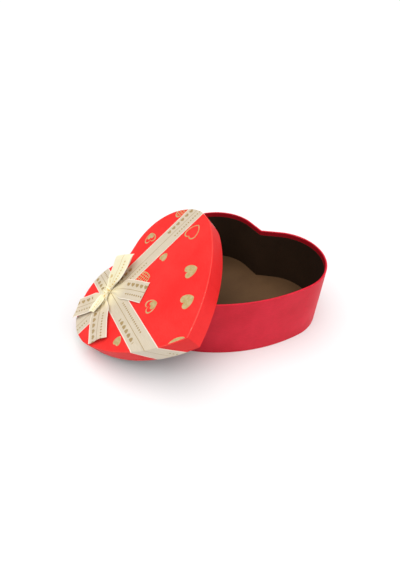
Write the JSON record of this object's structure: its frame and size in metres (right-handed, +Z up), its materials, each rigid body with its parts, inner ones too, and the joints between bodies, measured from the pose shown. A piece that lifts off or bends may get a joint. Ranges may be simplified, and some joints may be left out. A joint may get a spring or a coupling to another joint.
{
  "type": "heart-shaped gift box",
  "caption": "Heart-shaped rigid gift box with a deep open base, its shallow lid lifted off and leaning on the rim, dressed with crossed ribbon and a bow.",
  "frame": {"origin": "on the ground under the middle of the base's heart outline", "axes": "+Z up; +Y from the base's tip to its cleft; +X to the right seen from the tip"},
  "size_m": [0.2395, 0.238, 0.1176],
  "materials": {
    "greyboard": "matte",
    "red_paper": "satin",
    "brown_paper": "matte",
    "brown_pad": "matte",
    "base_sheet": "satin",
    "stay_tape": "matte",
    "ribbon": "satin",
    "gold_foil": "satin"
  },
  "bodies": {
    "base": {"base_bottom_sheet": "base_sheet", "base_cleft_tape": "stay_tape", "base_floor_board": "greyboard", "base_floor_pad": "brown_pad", "base_outer_wrap": "red_paper", "base_tip_tape": "stay_tape", "base_wall_left": "greyboard", "base_wall_liner": "brown_paper", "base_wall_right": "greyboard"},
    "lid": {"bow_loops": "ribbon", "bow_tails": "ribbon", "bow_tie": "ribbon", "foil_heart_01": "gold_foil", "foil_heart_02": "gold_foil", "foil_heart_03": "gold_foil", "foil_heart_04": "gold_foil", "foil_heart_05": "gold_foil", "foil_heart_06": "gold_foil", "foil_heart_07": "gold_foil", "foil_heart_08": "gold_foil", "foil_heart_09": "gold_foil", "foil_heart_10": "gold_foil", "lid_cleft_tape": "stay_tape", "lid_side_wrap": "red_paper", "lid_tip_tape": "stay_tape", "lid_top_board": "greyboard", "lid_top_liner": "brown_paper", "lid_top_wrap": "red_paper", "lid_wall_left": "greyboard", "lid_wall_liner": "brown_paper", "lid_wall_right": "greyboard", "ribbon_strap_cross": "ribbon", "ribbon_strap_long": "ribbon"}
  },
  "joints": [
    {"name": "lid_lift", "type": "slide", "parent": "base", "child": "lid", "axis": [0, 0, 1], "range_m": [0, 0.15]}
  ]
}
